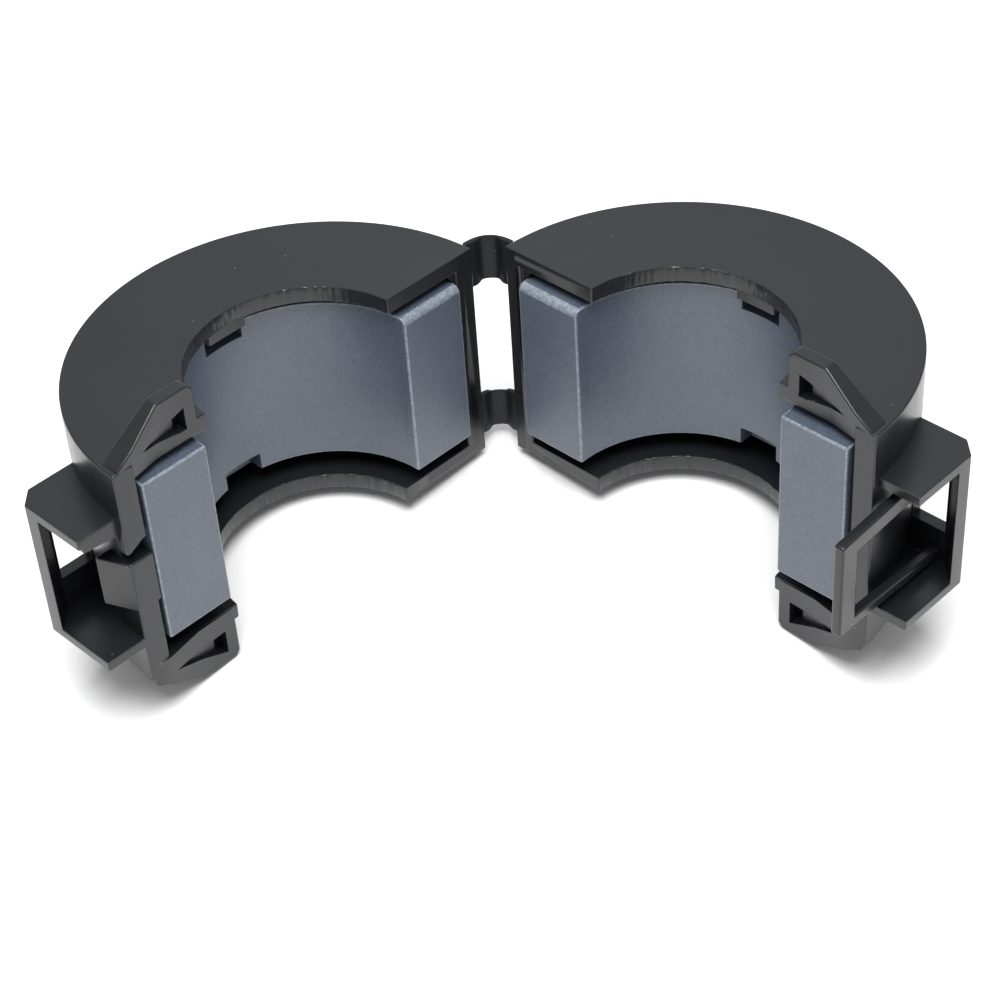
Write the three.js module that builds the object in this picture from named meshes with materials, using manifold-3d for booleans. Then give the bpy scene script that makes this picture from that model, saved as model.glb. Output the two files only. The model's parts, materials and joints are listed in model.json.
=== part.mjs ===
// Clip-on ferrite bead: a hinged nylon case with two half-ring ferrite cores that snaps shut
// round a cable. Millimetres, +Z up. The clamp stands open on its end faces, hinge at the back.
//
// Each half is built about the bore axis: +X runs to the latch, +Y into the half, Z along the bore.
import * as THREE from 'three';
import { mergeVertices } from 'three/addons/utils/BufferGeometryUtils.js';
import Module from 'manifold-3d';

const wasm = await Module();
wasm.setup();

// Driving dimensions
const OPEN_ANGLE = THREE.MathUtils.degToRad(91); // between the two mating planes at rest
const CASE_RADIUS = 25;
const CASE_HEIGHT = 27.7;
const WALL = 2.6;
const PLATE = 1.9; // thickness of the flat end plates
const PLATE_BORE_RADIUS = 12.5;
const PLATE_SETBACK = 0.85; // end plates stop short of the half's centre line
const HINGE_GAP = 1.35; // from the hinge axis to the case's back corner
const MATING_OFFSET = 0.3; // mating plane in front of the half's centre line

const CORE_OUTER_RADIUS = 22;
const CORE_BORE_RADIUS = 13.7;
const CORE_BOTTOM = 4.2;
const CORE_TOP = 24.8;
const CORE_FACE = { hook: -0.15, catch: -0.42 }; // ground faces, just behind the mating plane
const NOTCH_WIDTH = 5;
const NOTCH_RADIUS = 15.4;
const NOTCH_DEPTH = 2.2;
const TAB = { width: 5, thickness: 0.8, drop: 1.3 }; // lug on the top plate's bore edge that centres the core
const CLEARANCE = 0.4;

const RAMP = { flatEnd: 18.1, outer: 24.4, wall: 1.6, pocketDepth: 1.2 };
const TOP_RAMP = { inner: 13.5, rise: 4.4, heel: 0.1, pocket: [[14.9, -0.6], [20.8, 0.2], [14.9, 2.1]] };
const BOTTOM_RAMP = { inner: 13, rise: 5, heel: 1.2, pocket: [[14.6, 0.6], [21.8, 0.6], [14.6, 3.6]] };

const GUARD = { outer: 29.8, depth: 11.25, corner: 1.8, bottom: 5, top: 22, plate: 1.2, wall: 1.4 };
const GUARD_TOP_SETBACK = 0.9;
const GUARD_LIP = [
  [23.7, 18],
  [25.2, 19],
  [25.5, 19.8],
  [27.2, 20],
  [29.3, 20.2],
  [29.3, 21.9],
  [23.7, 21.9],
];
const GUARD_WINDOW = { inner: 23.1, outer: 27.2, bottom: 10.2, top: 17.2 };

const HOOK = { rise: 1.6, length: 3.7, height: 6.3, middle: 13.1 };
const CATCH = { inner: 25.7, thickness: 1.2, front: -7.1, bar: 2.5, upperArm: 1.9, lowerArm: 1.3 };
const CATCH_FRONT = [7.4, 19.1]; // the arms spread a little from the front bar back to their roots
const CATCH_ROOT = [6.8, 20.2];

const STRAPS = { upper: [21.7, 27.3], lower: [1.2, 6.1] };
const STRAP = { reach: 2.7, crown: 2.9, crownHalf: 0.95, thickness: 0.75 };

const ARC_STEPS = 48;

// Shapes

function outline(points) {
  return new THREE.Shape(points.map(([x, y]) => new THREE.Vector2(x, y)));
}

// half a ring, cut off along y = edge
function halfRing(outer, inner, edge) {
  const outerStart = Math.asin(edge / outer);
  const innerStart = Math.asin(edge / inner);
  const shape = new THREE.Shape();
  shape.absarc(0, 0, outer, outerStart, Math.PI - outerStart, false);
  shape.absarc(0, 0, inner, Math.PI - innerStart, innerStart, true);
  return shape;
}

function upright(shape, bottom, top) {
  const options = { depth: top - bottom, bevelEnabled: false, curveSegments: ARC_STEPS };
  return new THREE.ExtrudeGeometry(shape, options).translate(0, 0, bottom);
}

// an outline in X and Z, extruded from front to back
function sideways(shape, front, back) {
  const options = { depth: back - front, bevelEnabled: false };
  return new THREE.ExtrudeGeometry(shape, options).rotateX(Math.PI / 2).translate(0, back, 0);
}

function block([x0, x1], [y0, y1], [z0, z1]) {
  const box = new THREE.BoxGeometry(x1 - x0, y1 - y0, z1 - z0);
  return box.translate((x0 + x1) / 2, (y0 + y1) / 2, (z0 + z1) / 2);
}

// Joining and cutting

function solid(geometry) {
  const bare = geometry.clone();
  bare.deleteAttribute('normal');
  bare.deleteAttribute('uv');
  const merged = mergeVertices(bare, 1e-5);
  const vertProperties = Float32Array.from(merged.attributes.position.array);
  const triVerts = Uint32Array.from(merged.index.array);
  return new wasm.Manifold(new wasm.Mesh({ numProp: 3, vertProperties, triVerts }));
}

function joined(...geometries) {
  return geometries.map(solid).reduce((all, next) => all.add(next));
}

function toGeometry(body) {
  const mesh = body.getMesh();
  const geometry = new THREE.BufferGeometry();
  geometry.setAttribute('position', new THREE.BufferAttribute(mesh.vertProperties, 3));
  geometry.setIndex(new THREE.BufferAttribute(mesh.triVerts, 1));
  geometry.computeVertexNormals();
  return geometry;
}

// the same shape with the half turned the other way round
function mirrored(geometry) {
  const copy = geometry.clone().scale(1, -1, 1);
  const index = copy.index.array;
  for (let i = 0; i < index.length; i += 3) {
    [index[i], index[i + 1]] = [index[i + 1], index[i]];
  }
  copy.computeVertexNormals();
  return copy;
}

// Case half: outer wall, two end plates, cable ramps, core supports and the latch guard

const plateLevels = [[0, PLATE], [CASE_HEIGHT - PLATE, CASE_HEIGHT]];

function shell() {
  const wall = upright(halfRing(CASE_RADIUS, CASE_RADIUS - WALL, 0), 0, CASE_HEIGHT);
  const plateShape = halfRing(CASE_RADIUS, PLATE_BORE_RADIUS, PLATE_SETBACK);
  const plates = plateLevels.map(([bottom, top]) => upright(plateShape, bottom, top));
  const hingeTrim = block([-CASE_RADIUS - 1, 0], [-1, PLATE_SETBACK], [-1, CASE_HEIGHT + 1]);
  return joined(wall, ...plates).subtract(solid(hingeTrim));
}

// a sloping rib along the mating edge of an end plate, with a three-cornered pocket in its front;
// it stands up from the top plate (side 1) and down from the bottom plate (side -1)
function ramp(side) {
  const face = side > 0 ? CASE_HEIGHT : 0;
  const { inner, rise, heel, pocket } = side > 0 ? TOP_RAMP : BOTTOM_RAMP;
  const at = ([x, height]) => [x, face + side * height];
  const rib = [
    [inner, -PLATE / 2],
    [RAMP.outer, -PLATE / 2],
    [RAMP.outer, heel],
    [RAMP.flatEnd, rise],
    [inner + 0.6, rise],
    [inner, rise - 0.6],
  ];
  const body = sideways(outline(rib.map(at)), PLATE_SETBACK, PLATE_SETBACK + RAMP.wall);
  const cut = sideways(outline(pocket.map(at)), PLATE_SETBACK - 1, PLATE_SETBACK + RAMP.pocketDepth);
  return solid(body).subtract(solid(cut));
}

// the end of each plate beside the latch comes forward, level with the rim
function plateTips() {
  return plateLevels.map(([bottom, top]) => (
    block([CASE_RADIUS - WALL - 0.5, CASE_RADIUS - 0.4], [0, 2], [bottom, top])
  ));
}

// a tab on the top plate's bore edge that centres the core, and ribs that carry it
function coreSupports() {
  const across = [-TAB.width / 2, TAB.width / 2];
  const deep = [PLATE_BORE_RADIUS + 0.05, PLATE_BORE_RADIUS + TAB.thickness];
  const parts = [block(across, deep, [CASE_HEIGHT - PLATE - TAB.drop, CASE_HEIGHT - PLATE / 2])];
  for (const angle of [35, 145]) {
    const turn = THREE.MathUtils.degToRad(angle);
    const span = [CORE_BORE_RADIUS + 4, CASE_RADIUS - WALL / 2];
    parts.push(block(span, [-0.6, 0.6], [PLATE / 2, CORE_BOTTOM - CLEARANCE]).rotateZ(turn));
    parts.push(block(span, [-0.6, 0.6], [CORE_TOP + CLEARANCE, CASE_HEIGHT - PLATE / 2]).rotateZ(turn));
  }
  return parts;
}

// bracket on the outer wall: two plates and a back wall with a window, open to the front and side
function guard() {
  const { outer, depth, corner, bottom, top, plate, wall } = GUARD;
  const root = CASE_RADIUS - WALL / 2;
  const plan = outline([
    [root - 0.3, 0],
    [outer, 0],
    [outer, depth - corner],
    [outer - corner, depth],
    [root - 2.4, depth],
  ]);
  const slope = wall * (Math.SQRT2 - 1);
  const room = outline([
    [root - 3, -1],
    [outer + 1, -1],
    [outer + 1, depth - corner - wall - slope - 1],
    [outer, depth - corner - wall - slope],
    [outer - corner - slope, depth - wall],
    [root - 3, depth - wall],
  ]);
  const window = block(
    [GUARD_WINDOW.inner, GUARD_WINDOW.outer],
    [depth - wall - 1, depth + 1],
    [GUARD_WINDOW.bottom, GUARD_WINDOW.top],
  );
  const topFront = block([root - 1, outer + 1], [-1, GUARD_TOP_SETBACK], [top - plate - 0.1, top + 1]);
  return solid(upright(plan, bottom, top))
    .subtract(solid(upright(room, bottom + plate, top - plate)))
    .subtract(joined(window, topFront));
}

// the hook side guard's deeper front edge, with a web down to the rim
function guardLip() {
  return sideways(outline(GUARD_LIP), GUARD_TOP_SETBACK - 0.05, GUARD_TOP_SETBACK + 1);
}

// ramped hook on the rim that the catch snaps over
function hook() {
  const rim = CASE_RADIUS - WALL / 2;
  const wedge = outline([
    [rim, 0],
    [CASE_RADIUS, 0],
    [CASE_RADIUS + HOOK.rise, HOOK.length],
    [rim, HOOK.length],
  ]);
  return upright(wedge, HOOK.middle - HOOK.height / 2, HOOK.middle + HOOK.height / 2);
}

function caseHalf(...extras) {
  const body = joined(...plateTips(), ...coreSupports(), ...extras);
  return toGeometry(shell().add(ramp(1)).add(ramp(-1)).add(guard()).add(body));
}

// Core: half a sintered ferrite ring, notched in the middle of both bore edges; the case's lug
// sits in the top notch

function core(face) {
  const ring = halfRing(CORE_OUTER_RADIUS, CORE_BORE_RADIUS, face);
  const across = [-NOTCH_WIDTH / 2, NOTCH_WIDTH / 2];
  const deep = [CORE_BORE_RADIUS - 2, NOTCH_RADIUS];
  const notches = joined(
    block(across, deep, [CORE_BOTTOM - 1, CORE_BOTTOM + NOTCH_DEPTH]),
    block(across, deep, [CORE_TOP - NOTCH_DEPTH, CORE_TOP + 1]),
  );
  return toGeometry(solid(upright(ring, CORE_BOTTOM, CORE_TOP)).subtract(notches));
}

// Catch: a springy three-sided frame, rooted in the guard's back wall, that reaches past the
// mating plane and snaps over the hook

function catchFrame() {
  const { inner, thickness, front, bar, upperArm, lowerArm } = CATCH;
  const back = GUARD.depth - GUARD.wall - 0.3;
  const [frontBottom, frontTop] = CATCH_FRONT;
  const [rootBottom, rootTop] = CATCH_ROOT;
  const side = outline([
    [front, frontBottom],
    [back, rootBottom],
    [back, rootBottom + lowerArm],
    [front + bar, frontBottom + lowerArm],
    [front + bar, frontTop - upperArm],
    [back, rootTop - upperArm],
    [back, rootTop],
    [front, frontTop],
  ]);
  const flat = new THREE.ExtrudeGeometry(side, { depth: thickness, bevelEnabled: false });
  const upended = flat.rotateX(Math.PI / 2).rotateZ(Math.PI / 2);
  return toGeometry(solid(upended.translate(inner, 0, 0)));
}

// Hinge strap: a thin arched band behind the two back corners, drawn about the hinge axis

function strap([bottom, top]) {
  const { reach, crown, crownHalf, thickness } = STRAP;
  const band = outline([
    [-reach, 1.8],
    [-crownHalf, crown],
    [crownHalf, crown],
    [reach, 1.8],
    [reach + 0.1, 1.5],
    [reach - 0.45, 0.85],
    [crownHalf, crown - thickness],
    [-crownHalf, crown - thickness],
    [-reach + 0.45, 0.85],
    [-reach - 0.1, 1.5],
  ]);
  return upright(band, bottom, top);
}

// Assembly

const nylon = { color: 0x26272a, roughness: 0.55, metalness: 0 };
const ferrite = { color: 0x6f7781, roughness: 0.7, metalness: 0.1 };

function piece(name, geometry, finish) {
  const mesh = new THREE.Mesh(geometry, new THREE.MeshStandardMaterial(finish));
  mesh.name = name;
  return mesh;
}

// a half's own frame, turned half the opening angle to its side of the hinge
function placeHalf(half, side) {
  const turn = OPEN_ANGLE / 2;
  const along = new THREE.Vector3(side * Math.sin(turn), -Math.cos(turn), 0);
  const inward = new THREE.Vector3(side * Math.cos(turn), Math.sin(turn), 0);
  half.position.addScaledVector(along, HINGE_GAP + CASE_RADIUS);
  half.position.addScaledVector(inward, MATING_OFFSET);
  half.rotation.z = side * turn - Math.PI / 2;
  return half;
}

const hookHalf = new THREE.Group();
hookHalf.add(
  piece('hook_side_case', mirrored(caseHalf(hook(), guardLip())), nylon),
  piece('hook_side_core', mirrored(core(CORE_FACE.hook)), ferrite),
);

const catchHalf = new THREE.Group();
catchHalf.add(
  piece('catch_side_case', caseHalf(), nylon),
  piece('catch_side_core', core(CORE_FACE.catch), ferrite),
  piece('catch_frame', catchFrame(), nylon),
);

const clamp = new THREE.Group();
clamp.add(
  placeHalf(hookHalf, -1),
  placeHalf(catchHalf, 1),
  piece('upper_hinge_strap', strap(STRAPS.upper), nylon),
  piece('lower_hinge_strap', strap(STRAPS.lower), nylon),
);

// The lower ramps hold the latch ends up, so the clamp leans back on the rim behind the hinge
function restingLean() {
  const turn = OPEN_ANGLE / 2;
  const along = HINGE_GAP + CASE_RADIUS;
  const rimY = MATING_OFFSET * Math.sin(turn) - along * Math.cos(turn) + CASE_RADIUS;
  const rampDepth = MATING_OFFSET + PLATE_SETBACK + RAMP.wall;
  const rampY = rampDepth * Math.sin(turn) - (along + BOTTOM_RAMP.inner + 0.6) * Math.cos(turn);
  return -Math.atan(BOTTOM_RAMP.rise / (rimY - rampY));
}

clamp.rotation.x = restingLean();

// Origin under the middle of the clamp, on the surface it stands on
const ferriteBead = new THREE.Group();
ferriteBead.add(clamp);
const box = new THREE.Box3().setFromObject(ferriteBead, true);
const middle = box.getCenter(new THREE.Vector3());
clamp.position.set(-middle.x, -middle.y, -box.min.z);

export default ferriteBead;
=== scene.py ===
# Looks for the clip-on ferrite bead: moulded nylon clamp halves, sintered ferrite half rings,
# the springy catch frame and the two hinge straps, standing open on a pale floor.
import json
import math
import random

import bmesh
import bpy
from mathutils import Matrix, Vector


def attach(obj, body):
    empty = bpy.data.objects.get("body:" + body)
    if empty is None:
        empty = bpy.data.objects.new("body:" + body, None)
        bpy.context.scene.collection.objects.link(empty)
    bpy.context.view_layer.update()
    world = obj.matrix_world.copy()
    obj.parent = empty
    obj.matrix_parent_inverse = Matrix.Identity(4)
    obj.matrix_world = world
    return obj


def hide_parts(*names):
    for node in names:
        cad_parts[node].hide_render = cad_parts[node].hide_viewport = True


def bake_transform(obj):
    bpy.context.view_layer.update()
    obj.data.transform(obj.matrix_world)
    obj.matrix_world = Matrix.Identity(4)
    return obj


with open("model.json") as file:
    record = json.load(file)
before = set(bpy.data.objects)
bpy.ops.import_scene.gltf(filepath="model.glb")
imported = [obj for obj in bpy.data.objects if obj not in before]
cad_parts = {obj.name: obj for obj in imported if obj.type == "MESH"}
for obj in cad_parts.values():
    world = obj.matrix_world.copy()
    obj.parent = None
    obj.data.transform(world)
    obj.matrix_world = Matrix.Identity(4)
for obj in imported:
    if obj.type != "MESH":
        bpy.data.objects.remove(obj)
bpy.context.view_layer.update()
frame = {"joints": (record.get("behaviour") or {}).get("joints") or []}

# ---------------------------------------------------------------- sizes, in millimetres

MM = 0.001

CASE_RADIUS = 25.0
CASE_HEIGHT = 27.7
WALL = 2.6
PLATE = 1.9
PLATE_BORE = 12.5
PLATE_SETBACK = 0.85
HINGE_GAP = 1.35
MATING_OFFSET = 0.3
HINGE_MIDDLE = 13.85  # height of the hinge joint's point above the lower end plate
OPEN_ANGLE = 91.0

CORE_OUTER = 22.0
CORE_BORE = 13.7
CORE_BOTTOM = 4.2
CORE_TOP = 24.8
CORE_FACE = {"hook": -0.15, "catch": -0.42}
NOTCH_WIDTH = 5.0
NOTCH_RADIUS = 15.4
NOTCH_DEPTH = 2.2

TAB_WIDTH = 5.0
TAB_THICKNESS = 0.8
TAB_DROP = 1.3

RING_STEPS = 120
PLATE_STEPS = 200

PAST = 1  # a cutting solid reaches this far past what it cuts

# ---------------------------------------------------------------- where things stand

hinge = next(joint for joint in frame["joints"] if joint["name"] == "hinge")
bore_axis = -Vector(hinge["axis"]).normalized()
lean = Matrix.Rotation(math.atan2(-bore_axis.y, bore_axis.z), 4, "X")
clamp_origin = Vector(hinge["pos_m"]) - bore_axis * HINGE_MIDDLE * MM
CLAMP = Matrix.Translation(clamp_origin) @ lean @ Matrix.Scale(MM, 4)


def half_frame(side):
    """Ring coordinates of one half (+X to the latch, +Y into the half, Z along the bore) to
    the row frame; side -1 is the hook half, on the left, and +1 the catch half."""
    turn = math.radians(OPEN_ANGLE / 2)
    along = Vector((side * math.sin(turn), -math.cos(turn), 0))
    inward = Vector((side * math.cos(turn), math.sin(turn), 0))
    middle = along * (HINGE_GAP + CASE_RADIUS) + inward * MATING_OFFSET
    rows = Matrix((along, inward, Vector((0, 0, 1)))).transposed().to_4x4()
    return CLAMP @ Matrix.Translation(middle) @ rows


HOOK_HALF = half_frame(-1)
CATCH_HALF = half_frame(1)

# ---------------------------------------------------------------- solids from bmesh operators


def everything(bm):
    return bm.verts[:] + bm.edges[:] + bm.faces[:]


def cap_ends(bm):
    """Closes every open loop and turns the faces outwards."""
    open_edges = [edge for edge in bm.edges if edge.is_boundary]
    bmesh.ops.holes_fill(bm, edges=open_edges, sides=0)
    bmesh.ops.recalc_face_normals(bm, faces=bm.faces[:])
    return bm


def half_ring(profile, edge, steps=RING_STEPS, end_facet=0.4, hinge_edge=None):
    """A loop of (radius, height) points spun half way round and carried on to y = edge, or
    to y = hinge_edge at the hinge's end. The end facets are at least end_facet long, so that
    a rounded edge has room beside them."""
    bm = bmesh.new()
    bore = min(radius for radius, height in profile)
    start = math.asin((edge + end_facet) / bore)
    loop = [bm.verts.new((radius, 0, height)) for radius, height in profile]
    sides = [bm.edges.new(pair) for pair in zip(loop, loop[1:] + loop[:1])]
    bmesh.ops.rotate(bm, verts=loop, cent=(0, 0, 0), matrix=Matrix.Rotation(start, 3, "Z"))
    bmesh.ops.spin(bm, geom=loop + sides, cent=(0, 0, 0), axis=(0, 0, 1), dvec=(0, 0, 0),
                   angle=math.pi - 2 * start, steps=steps, use_merge=False)
    bmesh.ops.remove_doubles(bm, verts=bm.verts[:], dist=1e-4)
    ends = [line for line in bm.edges if line.is_boundary]
    carried = bmesh.ops.extrude_edge_only(bm, edges=ends)
    for vert in [item for item in carried["geom"] if isinstance(item, bmesh.types.BMVert)]:
        radius = math.hypot(vert.co.x, vert.co.y)
        reach = hinge_edge if hinge_edge is not None and vert.co.x < 0 else edge
        vert.co.x = math.copysign(math.sqrt(radius ** 2 - reach ** 2), vert.co.x)
        vert.co.y = reach
    return cap_ends(bm)


def band(outer, inner, bottom, top):
    return [(inner, bottom), (outer, bottom), (outer, top), (inner, top)]


def upright(outline, bottom, top):
    """An outline in X and Y, extruded from bottom to top."""
    bm = bmesh.new()
    face = bm.faces.new([bm.verts.new((x, y, bottom)) for x, y in outline])
    grown = bmesh.ops.extrude_face_region(bm, geom=[face], use_keep_orig=True)
    raised = [item for item in grown["geom"] if isinstance(item, bmesh.types.BMVert)]
    bmesh.ops.translate(bm, verts=raised, vec=(0, 0, top - bottom))
    bmesh.ops.recalc_face_normals(bm, faces=bm.faces[:])
    return bm


def sideways(outline, front, back):
    """An outline in X and Z, extruded from front to back."""
    bm = upright(outline, -back, -front)
    quarter_turn = Matrix.Rotation(math.pi / 2, 3, "X")
    bmesh.ops.rotate(bm, verts=bm.verts[:], cent=(0, 0, 0), matrix=quarter_turn)
    return bm


def block(x, y, z):
    """A block between two limits on each axis."""
    return upright([(x[0], y[0]), (x[1], y[0]), (x[1], y[1]), (x[0], y[1])], z[0], z[1])


def turned(bm, angle):
    """bm turned about the bore by angle, in degrees."""
    turn = Matrix.Rotation(math.radians(angle), 3, "Z")
    bmesh.ops.rotate(bm, verts=bm.verts[:], cent=(0, 0, 0), matrix=turn)
    return bm


def eased(bm, width, segments=2, angle=30, choose=None):
    """Rounds the edges that turn by more than angle, or those of them that choose picks."""
    limit = math.radians(angle)
    sharp = [edge for edge in bm.edges
             if edge.is_manifold and edge.calc_face_angle() > limit
             and (choose is None or choose(edge))]
    bmesh.ops.bevel(bm, geom=sharp, offset=width, offset_type="OFFSET", segments=segments,
                    profile=0.5, affect="EDGES", clamp_overlap=False, material=-1)
    return bm


def tool_object(bm):
    """A passing object for the Boolean modifiers to work on."""
    mesh = bpy.data.meshes.new("tool")
    bm.to_mesh(mesh)
    bm.free()
    made = bpy.data.objects.new("tool", mesh)
    bpy.context.scene.collection.objects.link(made)
    return made


def joined(base, add=(), cut=()):
    """base with the solids in add fused on, and then those in cut taken out."""
    body = tool_object(base)
    tools = []
    for operation, solids in (("UNION", add), ("DIFFERENCE", cut)):
        for solid in solids:
            tools.append(tool_object(solid))
            step = body.modifiers.new("step", "BOOLEAN")
            step.operation = operation
            step.solver = "MANIFOLD"
            step.object = tools[-1]
    bpy.context.view_layer.update()
    shaped = body.evaluated_get(bpy.context.evaluated_depsgraph_get())
    result = bmesh.new()
    result.from_mesh(shaped.to_mesh())
    shaped.to_mesh_clear()
    for used in tools + [body]:
        mesh = used.data
        bpy.data.objects.remove(used)
        bpy.data.meshes.remove(mesh)
    return result


def settled(bm):
    """Merges stray points and flat facets left by joining."""
    bmesh.ops.remove_doubles(bm, verts=bm.verts[:], dist=1e-3)
    bmesh.ops.dissolve_limit(bm, angle_limit=math.radians(0.3), use_dissolve_boundaries=False,
                             verts=bm.verts[:], edges=bm.edges[:])
    return bm


def piece(name, bm, place, materials, smooth_angle=32):
    """Turns a finished bmesh in millimetres into a piece with its place in its mesh."""
    bmesh.ops.transform(bm, matrix=place, verts=bm.verts[:])
    if place.to_3x3().determinant() < 0:
        bmesh.ops.reverse_faces(bm, faces=bm.faces[:])
    mesh = bpy.data.meshes.new(name)
    bm.to_mesh(mesh)
    bm.free()
    for material in materials:
        mesh.materials.append(material)
    mesh.shade_smooth()
    mesh.set_sharp_from_angle(angle=math.radians(smooth_angle))
    made = bpy.data.objects.new(name, mesh)
    bpy.context.scene.collection.objects.link(made)
    shading = made.modifiers.new("even shading", "WEIGHTED_NORMAL")
    shading.keep_sharp = True
    return made


# ---------------------------------------------------------------- materials


def linear(hex_colour):
    """sRGB hex to linear RGBA."""
    values = [int(hex_colour[i:i + 2], 16) / 255 for i in (1, 3, 5)]
    return [v / 12.92 if v <= 0.04045 else ((v + 0.055) / 1.055) ** 2.4 for v in values] + [1]


def per_mm(size):
    """Texture scale, on coordinates in metres, for features of this size in millimetres."""
    return 1 / (size * MM)


def node(tree, kind, settings=None, **inputs):
    """Adds one node. settings are its own properties; inputs are values or sockets to link,
    called by the socket's name, or by its number as in _6."""
    made = tree.nodes.new(kind)
    for name, value in (settings or {}).items():
        setattr(made, name, value)
    for name, value in inputs.items():
        numbered = name[0] == "_" and name[1:].isdigit()
        socket = made.inputs[int(name[1:]) if numbered else name.replace("_", " ")]
        if isinstance(value, bpy.types.NodeSocket):
            tree.links.new(value, socket)
        else:
            socket.default_value = value
    return made


def new_material(name):
    material = bpy.data.materials.new(name)
    material.use_nodes = True
    material.node_tree.nodes.clear()
    return material, material.node_tree


def moulded_nylon(name, smoothest, shine):
    """Black nylon 66, injection moulded: satin, with a fine eroded-tool grain, a little
    flow streaking and a few pale specks of dust and flash. Where a hinge flexes the skin
    has gone matt, so it is rougher and shines less."""
    material, tree = new_material(name)
    where = node(tree, "ShaderNodeTexCoord").outputs["Object"]
    clouds = node(tree, "ShaderNodeTexNoise", Vector=where, Scale=per_mm(14), Detail=3.0, Roughness=0.5)
    stretched = node(tree, "ShaderNodeMapping", Vector=where, Scale=(1.0, 5.0, 1.0),
                     Rotation=(0, 0, 0.5))
    streaks = node(tree, "ShaderNodeTexNoise", Vector=stretched.outputs[0], Scale=per_mm(5.5),
                   Detail=4.0, Roughness=0.6)
    grain = node(tree, "ShaderNodeTexNoise", Vector=where, Scale=per_mm(0.28), Detail=2.0,
                 Roughness=0.55)
    base = node(tree, "ShaderNodeMix", {"data_type": "RGBA"}, Factor=clouds.outputs["Fac"],
                _6=linear("#141518"), _7=linear("#1b1c20"))
    specks = node(tree, "ShaderNodeTexVoronoi", Vector=where, Scale=per_mm(3.2), Randomness=1.0)
    dots = node(tree, "ShaderNodeMapRange", Value=specks.outputs["Distance"],
                From_Min=0.018, From_Max=0.036, To_Min=0.35, To_Max=0.0)
    toned = node(tree, "ShaderNodeMix", {"data_type": "RGBA"}, Factor=dots.outputs[0],
                 _6=base.outputs[2], _7=linear("#8f9299"))
    rough = node(tree, "ShaderNodeMapRange", Value=streaks.outputs["Fac"], From_Min=0.3, From_Max=0.7,
                 To_Min=smoothest, To_Max=smoothest + 0.05)
    bump = node(tree, "ShaderNodeBump", Height=grain.outputs["Fac"], Strength=0.1, Distance=0.00006)
    shader = node(tree, "ShaderNodeBsdfPrincipled", Base_Color=toned.outputs[2],
                  Roughness=rough.outputs[0], IOR=1.53, Specular_IOR_Level=shine,
                  Normal=bump.outputs[0])
    node(tree, "ShaderNodeOutputMaterial", Surface=shader.outputs[0])
    return material


def sintered_ferrite(name, dark, pale, sparkle):
    """Nickel-zinc ferrite, pressed, sintered and ground: blue-grey, matt, with a fine
    sparkle of grains and a few darker pores. The paler copy with more sparkle, used on the
    rounded edges, is a painted highlight where light catches those edges."""
    material, tree = new_material(name)
    where = node(tree, "ShaderNodeTexCoord").outputs["Object"]
    clouds = node(tree, "ShaderNodeTexNoise", Vector=where, Scale=per_mm(7), Detail=4.0, Roughness=0.6)
    grain = node(tree, "ShaderNodeTexNoise", Vector=where, Scale=per_mm(0.34), Detail=3.0,
                 Roughness=0.7)
    base = node(tree, "ShaderNodeMix", {"data_type": "RGBA"}, Factor=clouds.outputs["Fac"],
                _6=linear(dark), _7=linear(pale))
    speckle = node(tree, "ShaderNodeMapRange", Value=grain.outputs["Fac"], From_Min=0.3, From_Max=0.7,
                   To_Min=1 - sparkle, To_Max=1 + sparkle)
    sparkled = node(tree, "ShaderNodeMix", {"data_type": "RGBA", "blend_type": "MULTIPLY"}, Factor=1.0,
                    _6=base.outputs[2], _7=speckle.outputs[0])
    pores = node(tree, "ShaderNodeTexVoronoi", Vector=where, Scale=per_mm(2.6), Randomness=1.0)
    dots = node(tree, "ShaderNodeMapRange", Value=pores.outputs["Distance"],
                From_Min=0.05, From_Max=0.11, To_Min=0.55, To_Max=0.0)
    toned = node(tree, "ShaderNodeMix", {"data_type": "RGBA"}, Factor=dots.outputs[0],
                 _6=sparkled.outputs[2], _7=linear("#3c424b"))
    bump = node(tree, "ShaderNodeBump", Height=grain.outputs["Fac"], Strength=0.25, Distance=0.00008)
    shader = node(tree, "ShaderNodeBsdfPrincipled", Base_Color=toned.outputs[2], Roughness=0.42,
                  IOR=1.7, Metallic=0.0, Normal=bump.outputs[0])
    node(tree, "ShaderNodeOutputMaterial", Surface=shader.outputs[0])
    return material


NYLON = moulded_nylon("moulded_black_nylon", 0.27, 0.5)
FLEXED_NYLON = moulded_nylon("flexed_black_nylon", 0.45, 0.26)
FERRITE = sintered_ferrite("sintered_ferrite", "#3d4552", "#4e5867", 0.24)
# The second ferrite copy is paler: a painted highlight for the rounded edges, not their own colour.
FERRITE_EDGE_HIGHLIGHT = sintered_ferrite("ferrite_edge_painted_highlight", "#59616b", "#828b96", 0.5)

# ---------------------------------------------------------------- case halves

PLATE_LEVELS = ((0.0, PLATE), (CASE_HEIGHT - PLATE, CASE_HEIGHT))
RIM = CASE_RADIUS - WALL  # inside of the outer wall
WALL_MIDDLE = CASE_RADIUS - WALL / 2

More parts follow.
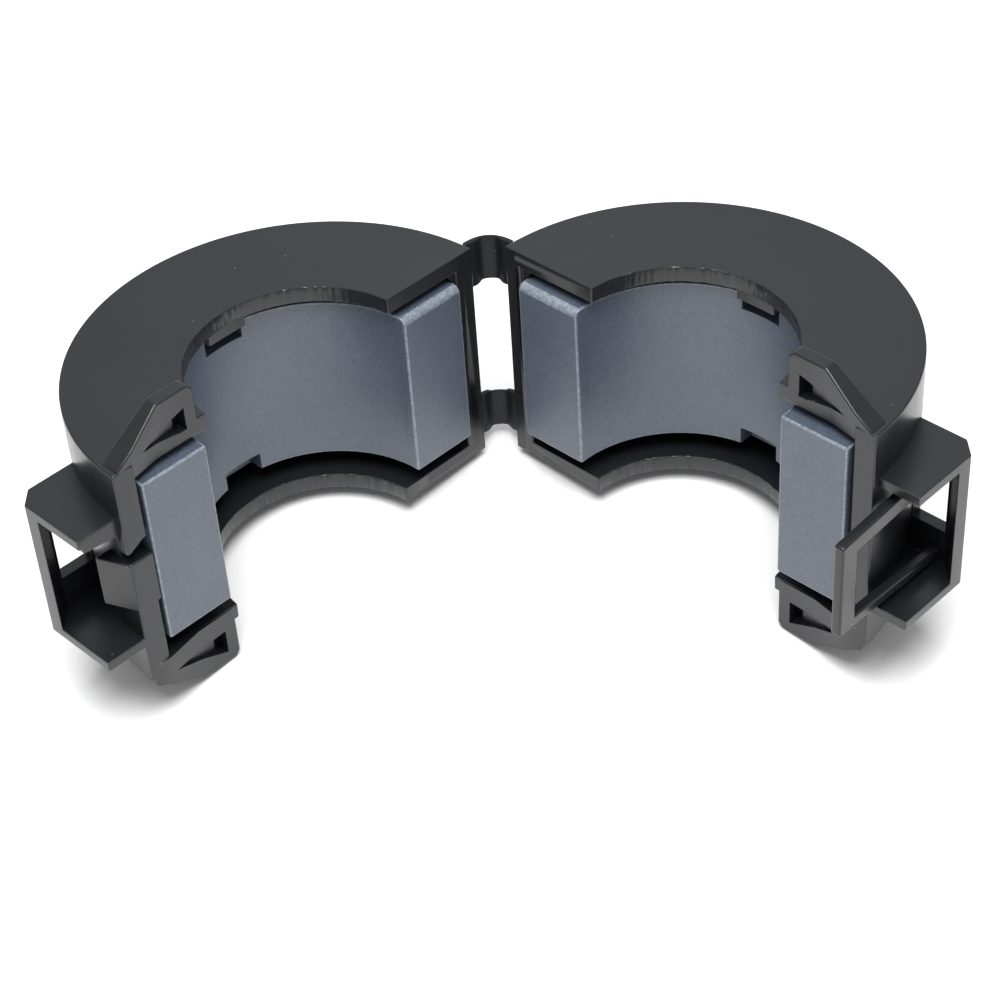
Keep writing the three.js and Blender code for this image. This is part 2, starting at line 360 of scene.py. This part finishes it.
RAMP_FLAT_END, RAMP_OUTER, RAMP_WALL = 18.1, 24.4, 1.6
RAMP_FOOT = 0.03 - PLATE  # a ramp goes down through its plate, almost to the far face
RAMP_FRONT = PLATE_SETBACK - 0.02
RAMP_RIM_FRONT = 0.02  # and comes forward to here where it meets the rim
RAMP_CORNER = 0.6
POCKET_TIP_DEPTH, POCKET_DEPTH = 0.4, 0.95
SLOT_WIDTH, SLOT_INSET, SLOT_FLOOR = 1.15, 0.02, 0.12
TOP_RAMP = {
    "inner": 13.5,
    "rise": 4.4,
    "heel": 0.1,
    "pocket": [(14.9, -0.6), (20.8, 0.2), (14.9, 2.1)],
    "slot": {"inner": 14.9, "low": -0.55, "high": 2.0, "run": 5.9},
}
BOTTOM_RAMP = {
    "inner": 13.0,
    "rise": 5.0,
    "heel": 1.2,
    "pocket": [(14.6, 0.6), (21.8, 0.6), (14.6, 3.6)],
    "slot": {"inner": 14.6, "low": 0.65, "high": 3.5, "run": 7.2},
}


def ramp_sizes(side):
    """Side 1 is the ramp that stands on the top plate, -1 the one that hangs from the bottom."""
    return TOP_RAMP if side > 0 else BOTTOM_RAMP


def from_plate(side, outline):
    """Heights measured outwards from an end plate's face, as heights in the half's frame."""
    face = CASE_HEIGHT if side > 0 else 0.0
    return [(x, face + side * height) for x, height in outline]


def ramp(side):
    """A sloping rib on an end plate."""
    shape = ramp_sizes(side)
    inner, rise = shape["inner"], shape["rise"]
    rib = [(inner, RAMP_FOOT), (RAMP_OUTER, RAMP_FOOT), (RAMP_OUTER, shape["heel"]),
           (RAMP_FLAT_END, rise), (inner + RAMP_CORNER, rise), (inner, rise - RAMP_CORNER)]
    solid = sideways(from_plate(side, rib), RAMP_FRONT, PLATE_SETBACK + RAMP_WALL)
    for x in (RAMP_FLAT_END, RIM):
        bmesh.ops.bisect_plane(solid, geom=everything(solid), dist=1e-5,
                               plane_co=(x, 0, 0), plane_no=(1, 0, 0))
    for vert in solid.verts:
        if vert.co.x > RIM - 0.1 and vert.co.y < PLATE_SETBACK + 0.1:
            vert.co.y = RAMP_RIM_FRONT
    return eased(solid, 0.22, segments=3)


def ramp_pocket(side):
    """The three-cornered recess in a ramp's front, shallow at its tip."""
    outline = from_plate(side, ramp_sizes(side)["pocket"])
    recess = sideways(outline, PLATE_SETBACK - PAST, PLATE_SETBACK + PAST)
    tip = outline[1][0]
    reach = (tip - RAMP_FLAT_END) / (RIM - RAMP_FLAT_END)
    front_at_tip = PLATE_SETBACK + (RAMP_RIM_FRONT - PLATE_SETBACK) * reach
    for vert in recess.verts:
        if vert.co.y > PLATE_SETBACK:
            at_tip = abs(vert.co.x - tip) < 0.1
            vert.co.y = front_at_tip + POCKET_TIP_DEPTH if at_tip else PLATE_SETBACK + POCKET_DEPTH
    return recess


def ramp_slot(side):
    """The deep, dark part of the recess, at its inner end."""
    slot = ramp_sizes(side)["slot"]
    inner, low, high = slot["inner"], slot["low"], slot["high"]
    slope = (high - low) / slot["run"]
    outline = [(inner + SLOT_INSET, low), (inner + SLOT_WIDTH, low),
               (inner + SLOT_WIDTH, high - slope * SLOT_WIDTH), (inner + SLOT_INSET, high)]
    return sideways(from_plate(side, outline), PLATE_SETBACK - PAST,
                    PLATE_SETBACK + RAMP_WALL - SLOT_FLOOR)


GUARD = {
    "outer": 29.8,
    "depth": 11.25,
    "corner": 1.8,
    "bottom": 5.0,
    "top": 22.0,
    "plate": 1.2,
    "wall": 1.4,
    "front_root": WALL_MIDDLE - 0.3,
    "back_root": WALL_MIDDLE - 2.4,
    "room_root": WALL_MIDDLE - 3,
}
GUARD_TOP_SETBACK = 0.9
GUARD_WINDOW = {"inner": 23.1, "outer": 27.2, "bottom": 10.2, "top": 17.2}


def guard():
    """The bracket beside the latch: two plates and a windowed back wall, open to front and
    side. The wall's thickness stays the same round its sloping corner."""
    outer, depth, corner, wall = GUARD["outer"], GUARD["depth"], GUARD["corner"], GUARD["wall"]
    slope = wall * (math.sqrt(2) - 1)
    plan = [(GUARD["front_root"], 0), (outer, 0), (outer, depth - corner), (outer - corner, depth),
            (GUARD["back_root"], depth)]
    room = [(GUARD["room_root"], -PAST), (outer + PAST, -PAST),
            (outer + PAST, depth - corner - wall - slope - PAST),
            (outer, depth - corner - wall - slope), (outer - corner - slope, depth - wall),
            (GUARD["room_root"], depth - wall)]
    floor_level, ceiling = GUARD["bottom"] + GUARD["plate"], GUARD["top"] - GUARD["plate"]
    setback = block((WALL_MIDDLE - PAST, outer + PAST), (-PAST, GUARD_TOP_SETBACK),
                    (ceiling - 0.1, CASE_HEIGHT))
    body = joined(upright(plan, GUARD["bottom"], GUARD["top"]),
                  cut=[upright(room, floor_level, ceiling), setback])
    eased(settled(body), 0.16)
    window = block((GUARD_WINDOW["inner"], GUARD_WINDOW["outer"]), (depth - wall - PAST, depth + PAST),
                   (GUARD_WINDOW["bottom"], GUARD_WINDOW["top"]))
    return joined(body, cut=[window])


HOOK = {"rise": 1.6, "length": 3.7, "height": 6.3, "middle": 13.1}
HOOK_TOP = HOOK["middle"] + HOOK["height"] / 2
HOOK_FRONT = -0.12  # the hook's face stands this far in front of the rim
HOOK_INNER = RIM - 0.3
HOOK_RIM_DEPTH = 1.2  # how deep it is where it crosses the rim


def hook():
    """The ramped block that the catch snaps over, as wide as the rim it grows from."""
    wedge = [(HOOK_INNER, HOOK_FRONT), (CASE_RADIUS, HOOK_FRONT),
             (CASE_RADIUS + HOOK["rise"], HOOK["length"]), (WALL_MIDDLE, HOOK["length"]),
             (WALL_MIDDLE, HOOK_RIM_DEPTH), (HOOK_INNER, HOOK_RIM_DEPTH)]
    solid = upright(wedge, HOOK["middle"] - HOOK["height"] / 2, HOOK_TOP)
    return eased(solid, 0.2, segments=3)


def hook_relief():
    """The hollow in the rim just above the hook, lower on its outer side."""
    outline = [(RIM - PAST, HOOK_TOP + 0.02), (CASE_RADIUS + PAST, HOOK_TOP + 0.02),
               (CASE_RADIUS + PAST, HOOK_TOP + 1.3), (CASE_RADIUS - 0.4, HOOK_TOP + 1.35),
               (RIM + 0.5, HOOK_TOP + 2.3), (RIM - PAST, HOOK_TOP + 2.5)]
    return sideways(outline, -PAST, 1.5)


LIP_OUTER = 29.3
LIP_DEPTH = 1.0


def guard_lip():
    """The deep front edge of the hook side's guard, with a web down to the rim."""
    top = GUARD["top"]
    outline = [(WALL_MIDDLE, top - 0.1), (LIP_OUTER, top - 0.1), (LIP_OUTER, top - 1.8),
               (27.2, top - 2.0), (CASE_RADIUS + 0.5, top - 2.2),
               (CASE_RADIUS + 0.25, top - 3.0), (WALL_MIDDLE, top - 4.0)]
    solid = sideways(outline, GUARD_TOP_SETBACK - 0.05, GUARD_TOP_SETBACK + LIP_DEPTH)
    return eased(solid, 0.14)


def hinge_web():
    """A small three-cornered web under the top plate beside the hinge."""
    sunk, width, drop = 0.2, 1.3, 1.5
    top, tip = CASE_HEIGHT - PLATE + sunk, CASE_HEIGHT - PLATE - drop
    outline = [(-RIM - sunk, top), (-RIM + width, top), (-RIM + 0.15, tip), (-RIM - sunk, tip)]
    return sideways(outline, PLATE_SETBACK + 0.05, PLATE_SETBACK + 0.65)


FLASH = 0.045  # how far the flash stands into the bore, at most
FLASH_BACK = 0.4  # and how far back the edge falls between, as a share of it
FLASH_BAND = 0.35  # how wide a band along the bore edge it takes up


def rough_bore_edge(plate, seed):
    """Uneven flash along the plate's bore edge."""
    dice = random.Random(seed)
    for vert in plate.verts:
        radius = math.hypot(vert.co.x, vert.co.y)
        if radius < PLATE_BORE + FLASH_BAND:
            stretch = 1 + dice.uniform(-FLASH, FLASH * FLASH_BACK) / radius
            vert.co.x *= stretch
            vert.co.y *= stretch
    return plate


RIB_ANGLES = (35, 145)
RIB_HALF_WIDTH = 0.6
RIB_INNER = CORE_BORE + 4
RIB_GAP = 0.4  # left between a rib and the core
RIB_LEVELS = ((PLATE / 2, CORE_BOTTOM - RIB_GAP), (CORE_TOP + RIB_GAP, CASE_HEIGHT - PLATE / 2))


def end_plate(bottom, top, seed):
    plate = half_ring(band(WALL_MIDDLE, PLATE_BORE, bottom, top), PLATE_SETBACK, steps=PLATE_STEPS)
    return rough_bore_edge(eased(plate, 0.16), seed)


def core_tab():
    """The thin tab below the top plate that the core snaps in behind."""
    across, deep = (-TAB_WIDTH / 2, TAB_WIDTH / 2), (PLATE_BORE + 0.05, PLATE_BORE + TAB_THICKNESS)
    return eased(block(across, deep, (CASE_HEIGHT - PLATE - TAB_DROP, CASE_HEIGHT - PLATE / 2)), 0.12)


def core_rib(level, angle):
    """A low rib that holds the core off an end plate."""
    return turned(block((RIB_INNER, WALL_MIDDLE), (-RIB_HALF_WIDTH, RIB_HALF_WIDTH), level), angle)


def case_half(extras=(), reliefs=(), seed=1):
    """One clamp half. extras are fused on and reliefs cut out; seed draws the flash."""
    wall = half_ring(band(CASE_RADIUS, RIM, 0, CASE_HEIGHT), 0, end_facet=1.4,
                     hinge_edge=PLATE_SETBACK)
    wall = eased(wall, 0.2, segments=3)
    parts = [end_plate(bottom, top, seed + top) for bottom, top in PLATE_LEVELS]
    parts.append(core_tab())
    parts += [core_rib(level, angle) for angle in RIB_ANGLES for level in RIB_LEVELS]
    parts += [ramp(1), ramp(-1), guard(), hinge_web()]
    cuts = [ramp_pocket(1), ramp_pocket(-1), ramp_slot(1), ramp_slot(-1)]
    return settled(joined(wall, add=parts + list(extras), cut=cuts + list(reliefs)))


hook_case = piece("hook_side_clamp_half", case_half([hook(), guard_lip()], [hook_relief()], seed=3),
                  HOOK_HALF, [NYLON])
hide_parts("hook_side_case")
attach(hook_case, "hook_half")

catch_case = piece("catch_side_clamp_half", case_half(seed=8), CATCH_HALF, [NYLON])
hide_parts("catch_side_case")
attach(catch_case, "catch_half")

# ---------------------------------------------------------------- ferrite half rings


def worn_edge(edge):
    """Picks the hinge end's top edge, the most worn one of a half ring."""
    ends = [vert.co for vert in edge.verts]
    return all(end.z > CORE_TOP - 0.1 and end.x < 0 and end.y < 0.1 for end in ends)


def core(face):
    """A half ring of ferrite, notched in the middle of both bore edges."""
    ring = half_ring(band(CORE_OUTER, CORE_BORE, CORE_BOTTOM, CORE_TOP), face, end_facet=1.3)
    eased(ring, 0.8, segments=3, angle=40, choose=worn_edge)
    eased(ring, 0.22, segments=2, angle=40)
    across, deep = (-NOTCH_WIDTH / 2, NOTCH_WIDTH / 2), (CORE_BORE - 2 * PAST, NOTCH_RADIUS)
    notches = [block(across, deep, (CORE_BOTTOM - PAST, CORE_BOTTOM + NOTCH_DEPTH)),
               block(across, deep, (CORE_TOP - NOTCH_DEPTH, CORE_TOP + PAST))]
    return settled(joined(ring, cut=notches))


def slanting(component):
    """Whether a face leans, as a rounded edge's faces do, going by one part of its normal."""
    return 0.15 < component < 0.985


def mark_highlighted_edges(bm, face):
    """Gives the rounded edges the second material, whose paler colour is a painted highlight."""
    for side_face in bm.faces:
        beside_split = side_face.calc_center_median().y < face + 0.62
        if slanting(abs(side_face.normal.z)) or (beside_split and slanting(-side_face.normal.y)):
            side_face.material_index = 1


for side, place in (("hook", HOOK_HALF), ("catch", CATCH_HALF)):
    solid = core(CORE_FACE[side])
    mark_highlighted_edges(solid, CORE_FACE[side])
    ring = piece(side + "_side_ferrite", solid, place, [FERRITE, FERRITE_EDGE_HIGHLIGHT])
    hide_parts(side + "_side_core")
    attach(ring, side + "_half")

# ---------------------------------------------------------------- catch frame

CATCH_INNER, CATCH_THICKNESS = 25.7, 1.2
CATCH_FRONT, CATCH_BAR = -7.1, 2.5
CATCH_FRONT_SPAN = (7.4, 19.1)  # heights of the frame at its front bar
CATCH_ROOT_SPAN = (6.8, 20.2)  # and where it grows from the guard's back wall
UPPER_ARM, LOWER_ARM = 1.9, 1.3


def catch_frame():
    """A flat frame: a front bar, and two arms that spread towards the guard's back wall."""
    back = GUARD["depth"] - GUARD["wall"] - 0.05
    bar_back = CATCH_FRONT + CATCH_BAR
    (low, high), (root_low, root_high) = CATCH_FRONT_SPAN, CATCH_ROOT_SPAN
    outline = [(CATCH_FRONT, low), (back, root_low), (back, root_low + LOWER_ARM),
               (bar_back, low + LOWER_ARM), (bar_back, high - UPPER_ARM),
               (back, root_high - UPPER_ARM), (back, root_high), (CATCH_FRONT, high)]
    bm = upright(outline, CATCH_INNER, CATCH_INNER + CATCH_THICKNESS)
    upend = Matrix(((0, 0, 1), (1, 0, 0), (0, 1, 0)))
    bmesh.ops.rotate(bm, verts=bm.verts[:], cent=(0, 0, 0), matrix=upend)
    return bm


catch = piece("catch_spring_frame", eased(catch_frame(), 0.28, segments=3), CATCH_HALF, [NYLON])
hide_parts("catch_frame")
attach(catch, "catch")

# ---------------------------------------------------------------- hinge straps

STRAPS = {"upper": (21.7, 27.3), "lower": (1.2, 6.1)}
STRAP_HALF = 2.75
STRAP_CROWN = 2.9
STRAP_ARCH = 1.35  # how far its ends lie below its crown
STRAP_THIN = 0.35
STRAP_THICKENING = 0.45  # added towards the ends
STRAP_FLARE = 0.28  # how much taller it grows where it leaves a half
FLARE_START, FLARE_RUN = 0.7, 0.5


def eased_in(distance, start, run):
    """0 up to start, 1 from start + run, and a straight rise between."""
    return min(1.0, max(0.0, (distance - start) / run))


def strap(bottom, top):
    """An arched band: thick where it leaves each half, thin along its middle."""
    bm = bmesh.new()
    bmesh.ops.create_grid(bm, x_segments=28, y_segments=6, size=0.5)
    for vert in bm.verts:
        across = vert.co.x * 2
        flare = STRAP_FLARE * eased_in(abs(across) * STRAP_HALF, FLARE_START, FLARE_RUN) ** 2
        if vert.co.y > 0 and top > CASE_HEIGHT / 2:
            flare = 0  # the upper strap's top edge lies level with the plates
        level = bottom + (vert.co.y + 0.5) * (top - bottom) + 2 * vert.co.y * flare
        vert.co = Vector((across * STRAP_HALF, STRAP_CROWN - STRAP_ARCH * across ** 2, level))
    grown = bmesh.ops.extrude_face_region(bm, geom=bm.faces[:], use_keep_orig=True)
    for vert in [item for item in grown["geom"] if isinstance(item, bmesh.types.BMVert)]:
        across = abs(vert.co.x) / STRAP_HALF
        vert.co.y -= STRAP_THIN + STRAP_THICKENING * eased_in(across, 0.33, 0.2)
    bmesh.ops.recalc_face_normals(bm, faces=bm.faces[:])
    return eased(bm, 0.12, angle=50)


for level, (bottom, top) in STRAPS.items():
    made = piece(level + "_living_hinge", strap(bottom, top), CLAMP, [FLEXED_NYLON])
    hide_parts(level + "_hinge_strap")
    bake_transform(made)

# ---------------------------------------------------------------- floor, light and camera


def floor():
    bm = bmesh.new()
    bmesh.ops.create_grid(bm, x_segments=1, y_segments=1, size=1.5)
    mesh = bpy.data.meshes.new("floor")
    bm.to_mesh(mesh)
    bm.free()
    material, tree = new_material("matt_white_board")
    shader = node(tree, "ShaderNodeBsdfPrincipled", Base_Color=linear("#f4f4f4"), Roughness=0.9)
    node(tree, "ShaderNodeOutputMaterial", Surface=shader.outputs[0])
    mesh.materials.append(material)
    made = bpy.data.objects.new("floor", mesh)
    bpy.context.scene.collection.objects.link(made)


def softbox(name, place, aim, size, power, colour="#ffffff"):
    """A round soft light at place, turned towards aim."""
    lamp = bpy.data.lights.new(name, "AREA")
    lamp.shape = "DISK"
    lamp.size = size
    lamp.energy = power
    lamp.color = linear(colour)[:3]
    made = bpy.data.objects.new(name, lamp)
    bpy.context.scene.collection.objects.link(made)
    made.location = place
    made.rotation_euler = (Vector(aim) - Vector(place)).to_track_quat("-Z", "Y").to_euler()


def studio():
    world = bpy.data.worlds.new("studio")
    world.use_nodes = True
    tree = world.node_tree
    tree.nodes.clear()
    light = node(tree, "ShaderNodeBackground", Color=linear("#ffffff"), Strength=0.47)
    node(tree, "ShaderNodeOutputWorld", Surface=light.outputs[0])
    bpy.context.scene.world = world
    softbox("overhead softbox", place=(0, -0.08, 0.6), aim=(0, 0, 0.01), size=0.44, power=5.6)
    softbox("back softbox", place=(0, 0.46, 0.4), aim=(0, 0, 0.02), size=0.36, power=0.17,
            colour="#e6ecff")


CAMERA_PLACE = Vector((5.776, -218.76, 177.44))  # in the clamp's own frame, in millimetres
CAMERA_YAW, CAMERA_PITCH, CAMERA_ROLL = -1.974, -40.063, -4.308
CAMERA_LENS = 88.42
CAMERA_SHIFT = (0.0108, -0.0091)
CAMERA_SENSOR = 36


def camera():
    """The camera's yaw, pitch and roll are in the clamp's own frame, which leans back."""
    yaw, pitch, roll = (math.radians(a) for a in (CAMERA_YAW, CAMERA_PITCH, CAMERA_ROLL))
    forward = Vector((math.sin(yaw) * math.cos(pitch), math.cos(yaw) * math.cos(pitch),
                      math.sin(pitch)))
    level = Vector((math.cos(yaw), -math.sin(yaw), 0))
    upward = level.cross(forward)
    right = level * math.cos(roll) + upward * math.sin(roll)
    up = upward * math.cos(roll) - level * math.sin(roll)
    turn = Matrix((right, up, -forward)).transposed()
    made = bpy.data.objects.new("camera", bpy.data.cameras.new("camera"))
    bpy.context.scene.collection.objects.link(made)
    made.matrix_world = Matrix.Translation(CLAMP @ CAMERA_PLACE) @ (lean.to_3x3() @ turn).to_4x4()
    made.data.sensor_width = CAMERA_SENSOR
    made.data.lens = CAMERA_LENS
    made.data.shift_x, made.data.shift_y = CAMERA_SHIFT
    made.data.clip_start = 0.01
    bpy.context.scene.camera = made


floor()
studio()
camera()
bpy.context.scene.view_settings.view_transform = "Standard"
